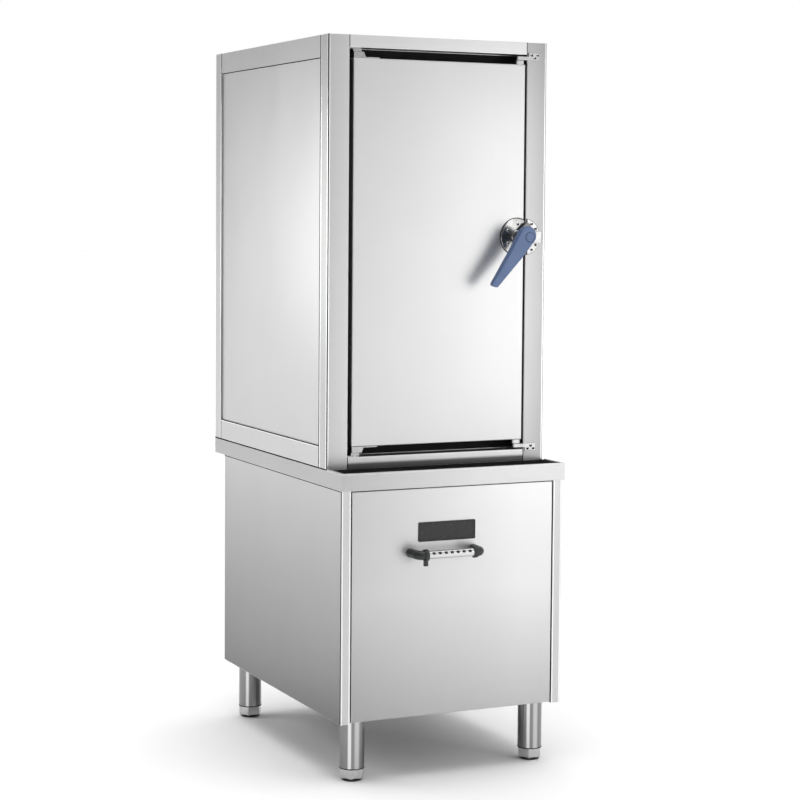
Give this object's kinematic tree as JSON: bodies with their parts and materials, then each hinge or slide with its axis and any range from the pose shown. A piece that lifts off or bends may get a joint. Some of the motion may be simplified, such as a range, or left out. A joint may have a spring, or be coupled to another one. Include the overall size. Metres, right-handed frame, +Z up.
{
  "type": "steam cabinet",
  "caption": "Tall insulated steam cabinet with a lever-latched door, standing on a worktop-covered boiler base with a drop-down front flap, pull handle, display and levelling feet.",
  "frame": {"origin": "bottom centre of the whole cabinet, on the floor between the four levelling feet", "axes": "+X to the right of the front, +Y to the back, +Z up"},
  "size_m": [0.6, 0.949, 1.783],
  "materials": {
    "sheet_steel": "satin brushed stainless sheet",
    "frame_steel": "satin brushed stainless box section",
    "liner_steel": "bright pickled stainless",
    "fitting_steel": "cast and machined stainless",
    "dark_steel": "dark sintered steel",
    "screw_steel": "plain stainless",
    "tube_steel": "polished stainless tube",
    "lever_blue": "moulded blue-grey plastic",
    "mount_plastic": "black moulded plastic",
    "display_frame": "black moulded plastic",
    "display_glass": "smoked display window",
    "gasket_rubber": "black silicone",
    "pad_rubber": "black rubber",
    "insulation_wool": "pressed mineral wool",
    "board_core": "moisture-proof plywood",
    "float_plastic": "white moulded plastic",
    "element_sheath": "heat-toned nickel alloy sheath",
    "valve_brass": "plain brass",
    "control_paint": "grey powder coat"
  },
  "bodies": {
    "cabinet": {"front_stiles": "frame_steel", "front_rails": "frame_steel", "rear_posts": "frame_steel", "side_rails": "frame_steel", "side_panels": "sheet_steel", "top_cover": "sheet_steel", "back_panel": "sheet_steel", "chamber_liner": "liner_steel", "mouth_gasket": "gasket_rubber", "insulation": "insulation_wool", "shelf_runners": "liner_steel", "steam_shelves": "liner_steel", "steam_pipe": "liner_steel", "vent_pipe": "liner_steel", "hinge_brackets": "fitting_steel", "hinge_pins": "screw_steel", "corner_keepers": "fitting_steel", "keeper_plates": "fitting_steel", "keeper_bridge": "fitting_steel", "frame_screws": "screw_steel", "countertop": "sheet_steel", "countertop_board": "board_core", "base_sides": "sheet_steel", "base_back_panel": "sheet_steel", "base_floor": "sheet_steel", "flap_pins": "screw_steel", "water_tank": "liner_steel", "tank_lid": "liner_steel", "heating_elements": "element_sheath", "float_valve": "valve_brass", "drain_pipe": "liner_steel", "control_box": "control_paint", "cable_gland": "mount_plastic", "leg_tubes": "tube_steel"},
    "door": {"door_skin": "sheet_steel", "door_inner_pan": "liner_steel", "door_insulation": "insulation_wool", "door_hinge_blocks": "fitting_steel", "door_corner_blocks": "fitting_steel", "latch_plate": "fitting_steel", "door_screws": "screw_steel"},
    "latch": {"latch_spindle": "screw_steel", "latch_cam": "dark_steel", "latch_lever": "lever_blue", "lever_cap": "lever_blue"},
    "flap": {"front_flap": "sheet_steel", "display_module": "display_frame", "display_screen": "display_glass", "handle_tube": "tube_steel", "handle_mounts": "mount_plastic"},
    "float": {"float_arm": "float_plastic"},
    "drain_valve": {"drain_lever": "fitting_steel"},
    "foot_front_left": {"foot_front_left": "tube_steel", "pad_front_left": "pad_rubber"},
    "foot_front_right": {"foot_front_right": "tube_steel", "pad_front_right": "pad_rubber"},
    "foot_rear_left": {"foot_rear_left": "tube_steel", "pad_rear_left": "pad_rubber"},
    "foot_rear_right": {"foot_rear_right": "tube_steel", "pad_rear_right": "pad_rubber"}
  },
  "joints": [
    {"name": "door_hinge", "type": "hinge", "parent": "cabinet", "child": "door", "pos_m": [-0.225, -0.3235, 1.264], "axis": [0, 0, -1], "range_deg": [0, 110]},
    {"name": "lever_turn", "type": "hinge", "parent": "door", "child": "latch", "pos_m": [0.206, -0.3355, 1.304], "axis": [0, 1, 0], "range_deg": [-20, 50]},
    {"name": "flap_hinge", "type": "hinge", "parent": "cabinet", "child": "flap", "pos_m": [0, -0.4055, 0.16], "axis": [1, 0, 0], "range_deg": [0, 85]},
    {"name": "float_hinge", "type": "hinge", "parent": "cabinet", "child": "float", "pos_m": [-0.17, 0.3115, 0.354], "axis": [-1, 0, 0], "range_deg": [0, 32]},
    {"name": "drain_turn", "type": "hinge", "parent": "cabinet", "child": "drain_valve", "pos_m": [0.09, -0.1155, 0.225], "axis": [0, 0, 1], "range_deg": [0, 90]},
    {"name": "foot_front_left_thread", "type": "slide", "parent": "cabinet", "child": "foot_front_left", "axis": [0, 0, -1], "range_m": [0, 0.025]},
    {"name": "foot_front_right_thread", "type": "slide", "parent": "cabinet", "child": "foot_front_right", "axis": [0, 0, -1], "range_m": [0, 0.025]},
    {"name": "foot_rear_left_thread", "type": "slide", "parent": "cabinet", "child": "foot_rear_left", "axis": [0, 0, -1], "range_m": [0, 0.025]},
    {"name": "foot_rear_right_thread", "type": "slide", "parent": "cabinet", "child": "foot_rear_right", "axis": [0, 0, -1], "range_m": [0, 0.025]}
  ]
}
